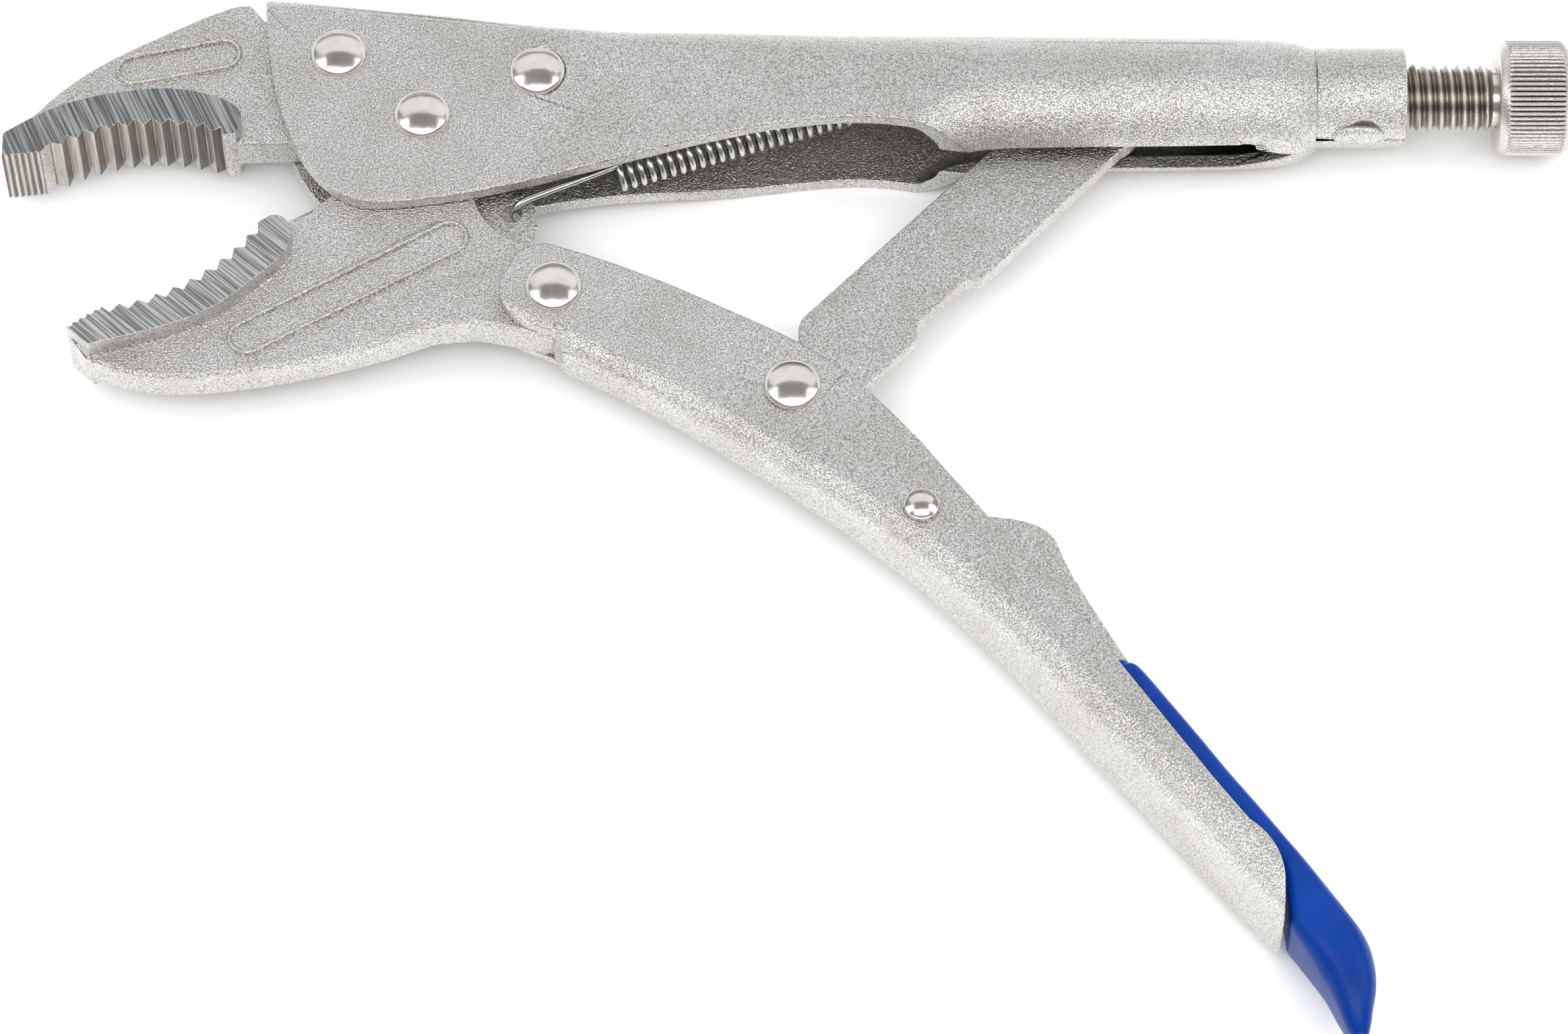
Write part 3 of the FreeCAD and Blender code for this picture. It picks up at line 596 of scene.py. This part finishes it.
def make_rivets():
    """Each rivet's two domed heads, with a low rounded rim, and its shank between them."""
    metal = polished("rivet_metal")
    for node in frame["nodes"]:
        if not node.endswith("rivet") and "jaw_rivet" not in node:
            continue
        low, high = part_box(node)
        centre = (low + high) / 2
        head = (high.x - low.x) / 2
        top = (high.z - low.z) / 2
        rise = (HEAD_RISE if head > 4 * MM else SMALL_HEAD_RISE) * MM
        dome_rise = DOME_SHARE * rise
        dome_r = (head ** 2 + dome_rise ** 2) / (2 * dome_rise)
        reach = math.asin(0.93 * head / dome_r)
        dome = []
        for i in range(14):
            angle = reach * i / 13
            dome.append((top - dome_r * (1 - math.cos(angle)), dome_r * math.sin(angle)))
        seat = top - rise
        rim = [(seat + 0.26 * rise, 0.975 * head), (seat + 0.12 * rise, 0.998 * head), (seat, head)]
        half = dome + rim + [(seat, 0.68 * head)]
        profile = half + [(-along, radius) for along, radius in reversed(half)]
        piece = turned(node + "_finished", profile, centre, (0, 0, 1), 64, metal, sharp=50.0)
        stands_for(piece, node)


def make_screw():
    """The screw: a rounded nose, a rolled right-hand thread and a plain neck."""
    metal = threaded("rolled_thread")
    low, high = THREAD_X
    core = [(NOSE_X, 0.0), (NOSE_X, 2.6), (NOSE_X + 0.9, 4.0), (low + 0.2, THREAD_ROOT), (high, THREAD_ROOT),
            (high + 0.5, NECK_R), (KNOB_X[0] + 5.4, NECK_R), (KNOB_X[0] + 5.4, 0.0)]
    bm = bmesh.new()
    steps = 56
    # One turn's profile: share of the pitch along the screw, share of the thread's height
    thread = [(0.0, 0.0), (0.08, 0.05), (0.28, 0.48), (0.44, 0.90), (0.5, 1.0), (0.56, 0.90), (0.72, 0.48),
              (0.92, 0.05), (1.0, 0.0)]
    turns = int((high - low) / PITCH) + 2
    columns = []
    for i in range(turns * steps + 1):
        angle = math.tau * i / steps
        column = []
        for along, rise in thread:
            x = low - PITCH + (i / steps + along) * PITCH
            fade = min(1.0, max(0.0, (x - low) / (0.8 * PITCH)), max(0.0, (high - x) / (0.5 * PITCH)))
            radius = THREAD_ROOT + (THREAD_R - THREAD_ROOT) * rise * fade
            x = min(max(x, low), high)
            column.append(bm.verts.new(at(x, SCREW_Y + radius * math.cos(angle), radius * math.sin(angle))))
        columns.append(column)
    for first, second in zip(columns, columns[1:]):
        for k in range(len(thread) - 1):
            bm.faces.new((first[k], second[k], second[k + 1], first[k + 1]))
    bmesh.ops.remove_doubles(bm, verts=bm.verts, dist=0.001 * MM)
    bmesh.ops.dissolve_degenerate(bm, edges=bm.edges, dist=0.001 * MM)
    bmesh.ops.recalc_face_normals(bm, faces=bm.faces)
    piece = finish_mesh("adjusting_screw_thread", bm, metal, sharp=60.0)
    stands_for(piece, "adjusting_screw")
    profile = [((x - NOSE_X) * MM, (r - 0.02) * MM if 0.02 < r else 0.0) for x, r in core]
    core_metal = polished("screw_neck", rough=0.2)
    core_piece = turned("adjusting_screw_core", profile, at(NOSE_X, SCREW_Y), (1, 0, 0), 48, core_metal)
    stands_for(core_piece, "adjusting_screw")


def make_knob():
    """The knob: straight ridges all round, plain chamfered rims and a shallow dish in its end.

    A row is a place along the screw, a radius, and how deep its ridges are cut, from 0 to 1."""
    metal = knurled("knurled_steel")
    low, high = KNOB_X
    rows = [(low, NECK_R + 0.1, 0), (low, KNOB_R - 1.0, 0), (low + 0.25, KNOB_R - 0.72, 0),
            (low + 0.95, KNOB_R - 0.24, 0), (low + 1.35, KNOB_R - 0.12, 0), (low + 1.6, KNOB_R, 1),
            (low + 2.2, KNOB_R, 1),
            (high - 1.9, KNOB_R, 1), (high - 1.45, KNOB_R - 0.05, 1), (high - 1.1, KNOB_R - 0.3, 0.3),
            (high - 0.35, KNOB_R - 0.8, 0), (high - 0.05, KNOB_R - 1.25, 0), (high, KNOB_R - 1.7, 0),
            (high, 3.4, 0), (high - 0.3, 2.8, 0), (high - 0.45, 0.05, 0)]
    per_ridge = 8
    steps = KNOB_RIDGES * per_ridge
    bm = bmesh.new()
    rings = []
    for x, radius, ridged in rows:
        ring = []
        for i in range(steps):
            wave = abs(math.cos(math.pi * i / per_ridge)) ** 0.8
            r = radius - ridged * RIDGE_DEPTH * (1 - wave)
            angle = math.tau * i / steps
            ring.append(bm.verts.new(at(x, SCREW_Y + r * math.cos(angle), r * math.sin(angle))))
        rings.append(ring)
    join_rings(bm, rings)
    bm.faces.new(rings[-1])
    bmesh.ops.recalc_face_normals(bm, faces=bm.faces)
    stands_for(finish_mesh("adjusting_knob_finished", bm, metal, sharp=42.0), "adjusting_knob")


def make_spring():
    """The return spring: an open coil, a straight hook to the jaw's lug and one to the handle's tongue."""
    start, end = at(*COIL_START), at(*COIL_END)
    along = (end - start).normalized()
    across = Vector((-along.y, along.x, 0.0))
    up = Vector((0.0, 0.0, 1.0))
    turns = round((end - start).length / (COIL_PITCH * MM))
    steps = 22
    coil = []
    for i in range(turns * steps + 1):
        angle = math.tau * i / steps
        around = up * math.cos(angle) - across * math.sin(angle)
        coil.append(start.lerp(end, i / (turns * steps)) + around * COIL_MIDDLE_R * MM)
    hole = at(*HOOK_HOLE)
    front = [hole + Vector(point) * MM for point in FRONT_HOOK]
    tab = at(*SPRING_TAB)
    rear = [tab + Vector(point) * MM for point in REAR_HOOK]
    path = front + coil + rear
    metal = drawn_wire("bright_wire")
    piece = tube("return_spring_wire", path, WIRE_R * MM, metal)
    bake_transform(piece)
    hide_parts("return_spring")


def smooth_rows(rows, steps):
    """The given rows of numbers with others between them, on a smooth curve through them."""
    drawn = []
    for i in range(len(rows) - 1):
        nearby = (rows[max(i - 1, 0)], rows[i], rows[i + 1], rows[min(i + 2, len(rows) - 1)])
        for k in range(steps):
            t = k / steps
            drawn.append([q + 0.5 * t * (r - p + t * (2 * p - 5 * q + 4 * r - s + t * (3 * (q - r) + s - p)))
                          for p, q, r, s in zip(*nearby)])
    drawn.append(list(rows[-1]))
    return drawn


def rounded_section(row, inset=0.0, way=Vector((0.0, 0.0, 0.0))):
    """Points round one section of the sleeve, drawn in by inset and moved by way, in mm."""
    top, under = Vector((row[0], row[1], 0.0)), Vector((row[2], row[3], 0.0))
    down = (under - top).normalized()
    deep = (under - top).length / 2 - inset
    wide = row[4] - inset
    corner = max(0.05, min(row[5] - inset, deep, wide))
    middle = (top + under) / 2 + way
    points = []
    for quarter, (along, across) in enumerate(((1, 1), (-1, 1), (-1, -1), (1, -1))):
        for k in range(8):
            turn = math.pi / 2 * (quarter + k / 7)
            place = middle + down * (along * (deep - corner) + corner * math.cos(turn))
            points.append(at(place.x, place.y, across * (wide - corner) + corner * math.sin(turn)))
    return points


def make_sleeve():
    """The dipped sleeve: thin under the handle's cheeks, then a broad soft tail that ends in a drip."""
    rows = smooth_rows(SLEEVE_ROWS, 8)
    steps = 6
    sections = []
    for i in range(steps):
        turn = math.pi / 2 * i / steps
        way = SLEEVE_FRONT_WAY * SLEEVE_LIP * math.cos(turn)
        sections.append(rounded_section(rows[0], SLEEVE_LIP * (1 - math.sin(turn)), way))
    sections += [rounded_section(row) for row in rows]
    for i in range(1, steps):
        turn = math.pi / 2 * i / steps
        way = SLEEVE_TAIL_WAY * SLEEVE_DRIP * math.sin(turn)
        sections.append(rounded_section(rows[-1], SLEEVE_DRIP * (1 - math.cos(turn)), way))
    bm = bmesh.new()
    rings = [[bm.verts.new(point) for point in section] for section in sections]
    join_rings(bm, rings)
    bm.faces.new(rings[0])
    bm.faces.new(rings[-1])
    bmesh.ops.remove_doubles(bm, verts=bm.verts, dist=0.001 * MM)
    bmesh.ops.recalc_face_normals(bm, faces=bm.faces)
    piece = finish_mesh("lever_grip_sleeve_finished", bm, vinyl("blue_vinyl"), sharp=80.0)
    stands_for(piece, "lever_grip_sleeve")


# ---------------------------------------------------------------- camera, light and floor

CAMERA_LENS = 151.45
CAMERA_TILT = 28.9
CAMERA_AIM = (-0.00075, -0.00168)


def make_camera():
    """The camera, a metre from its aim and tilted back from looking straight down."""
    data = bpy.data.cameras.new("camera")
    data.lens = CAMERA_LENS
    data.sensor_width = 36.0
    data.clip_start = 0.05
    data.clip_end = 20.0
    camera = bpy.data.objects.new("camera", data)
    tilt = math.radians(CAMERA_TILT)
    aim = Vector((*CAMERA_AIM, MID_Z))
    camera.location = aim + Vector((0.0, -math.sin(tilt), math.cos(tilt)))
    camera.rotation_euler = (tilt, 0.0, 0.0)
    bpy.context.scene.collection.objects.link(camera)
    bpy.context.scene.camera = camera


def softbox(name, elevation, azimuth, distance, width, height, radiance,
            color=(1.0, 1.0, 1.0), mirrored=True):
    """A soft box aimed at the tool; elevation from the floor, azimuth from +X, in degrees.

    Metal shows it only if it is mirrored."""
    data = bpy.data.lights.new(name, "AREA")
    data.shape = "RECTANGLE"
    data.size = width
    data.size_y = height
    data.energy = radiance * math.pi * width * height
    data.color = color
    up, turn = math.radians(elevation), math.radians(azimuth)
    light = bpy.data.objects.new(name, data)
    way = Vector((math.cos(up) * math.cos(turn), math.cos(up) * math.sin(turn), math.sin(up)))
    light.location = way * distance
    light.rotation_euler = way.to_track_quat("Z", "Y").to_euler()
    light.visible_glossy = mirrored
    bpy.context.scene.collection.objects.link(light)


def make_stage():
    """A white floor, soft boxes all round and a fill from overhead that only the floor shows."""
    bm = bmesh.new()
    bmesh.ops.create_grid(bm, x_segments=1, y_segments=1, size=8.0)
    look = Nodes("floor_white")
    look.set(Base_Color=(0.95, 0.95, 0.95), Roughness=0.9)
    floor = finish_mesh("floor", bm, look.material)
    world = bpy.data.worlds.new("studio")
    world.use_nodes = True
    bpy.context.scene.world = world
    background = world.node_tree.nodes["Background"]
    background.inputs["Color"].default_value = (0.92, 0.93, 0.95, 1.0)
    background.inputs["Strength"].default_value = 0.32
    softbox("back_wall", 38, 90, 1.2, 2.6, 1.15, 0.72, (0.97, 0.985, 1.0))
    softbox("front_box", 60, 270, 1.3, 1.9, 0.6, 2.7, (1.0, 0.99, 0.97))
    softbox("left_box", 35, 180, 1.3, 0.7, 0.9, 1.6)
    softbox("right_box", 35, 0, 1.3, 0.7, 0.9, 1.6)
    softbox("fill_overhead", 90, 270, 1.5, 2.4, 2.4, 1.3, mirrored=False)
    bpy.context.scene.view_settings.view_transform = "Standard"


make_camera()
make_stage()
make_sheet_metal()
make_jaws()
make_rivets()
make_screw()
make_knob()
make_spring()
make_sleeve()
